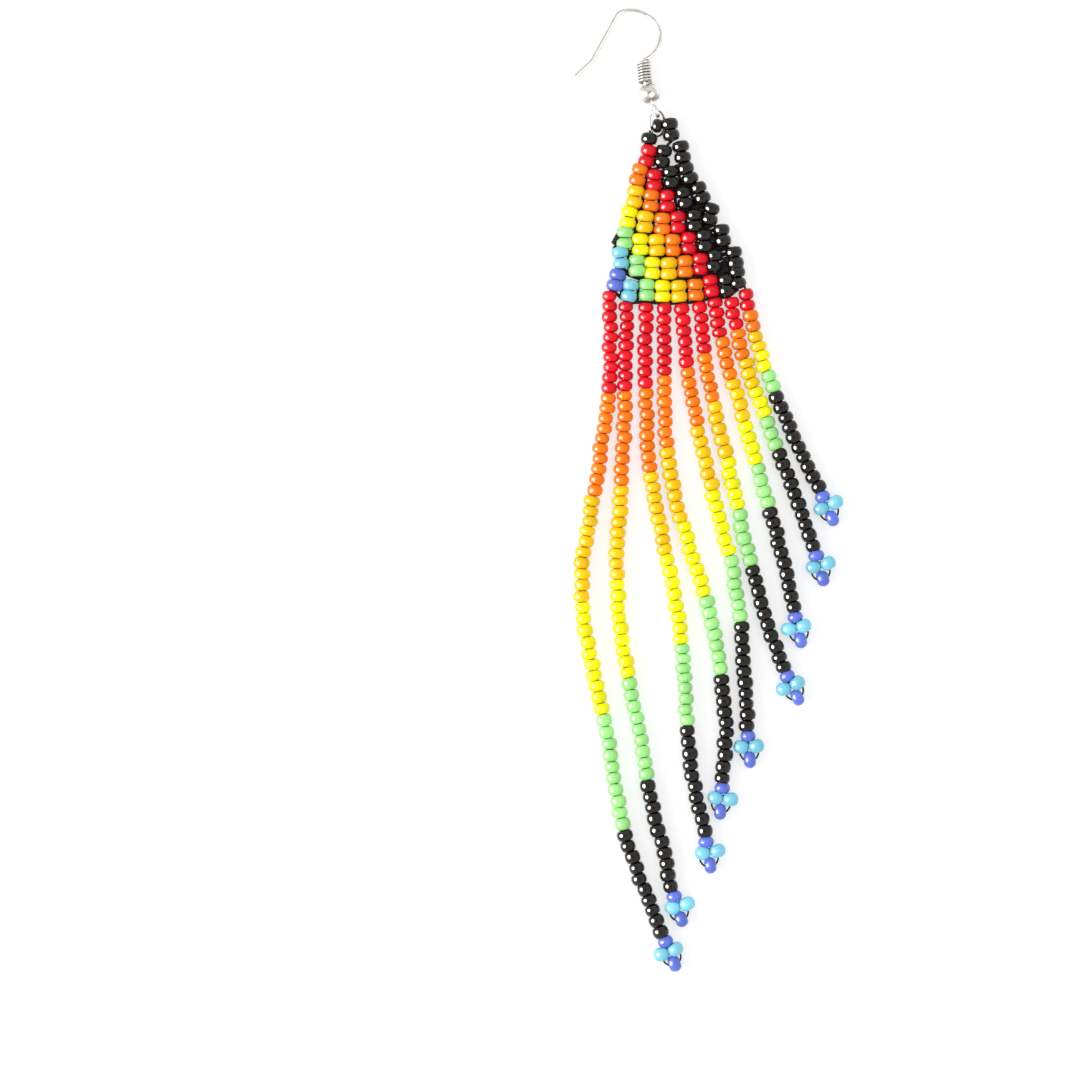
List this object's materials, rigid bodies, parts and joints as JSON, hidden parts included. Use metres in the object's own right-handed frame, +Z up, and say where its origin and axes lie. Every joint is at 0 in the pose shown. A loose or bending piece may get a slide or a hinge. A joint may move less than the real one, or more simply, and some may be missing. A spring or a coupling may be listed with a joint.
{
  "type": "beaded fringe earring",
  "caption": "Fringe earring of glass seed beads: an ear wire with coil and ball, a jump ring, a woven triangular panel and a graduated fringe of bead strands with picot tips.",
  "frame": {"origin": "on the surface the earring lies on, under the middle of its outline", "axes": "+Y from the fringe towards the ear wire, +X to the short side of the fringe, +Z up off the surface"},
  "size_m": [0.0405, 0.1449, 0.0031],
  "materials": {
    "silver_wire": "bright silver-plated wire",
    "silver_ball": "bright silver-plated bead",
    "panel_beads": "opaque glossy glass beads in red, orange, yellow, green, blue and black",
    "strand_beads": "opaque glossy glass beads in red, orange, gold, yellow, green and black",
    "tip_beads": "opaque glossy glass beads in light blue and cornflower blue",
    "thread": "black waxed nylon beading thread"
  },
  "bodies": {
    "root": {"ear_wire": "silver_wire", "wire_coil": "silver_wire", "ball_bead": "silver_ball", "jump_ring": "silver_wire", "woven_panel": "panel_beads", "strand_1": "strand_beads", "strand_2": "strand_beads", "strand_3": "strand_beads", "strand_4": "strand_beads", "strand_5": "strand_beads", "strand_6": "strand_beads", "strand_7": "strand_beads", "strand_8": "strand_beads", "strand_9": "strand_beads", "strand_tip_1": "tip_beads", "strand_tip_2": "tip_beads", "strand_tip_3": "tip_beads", "strand_tip_4": "tip_beads", "strand_tip_5": "tip_beads", "strand_tip_6": "tip_beads", "strand_tip_7": "tip_beads", "strand_tip_8": "tip_beads", "strand_tip_9": "tip_beads"}
  },
  "joints": []
}
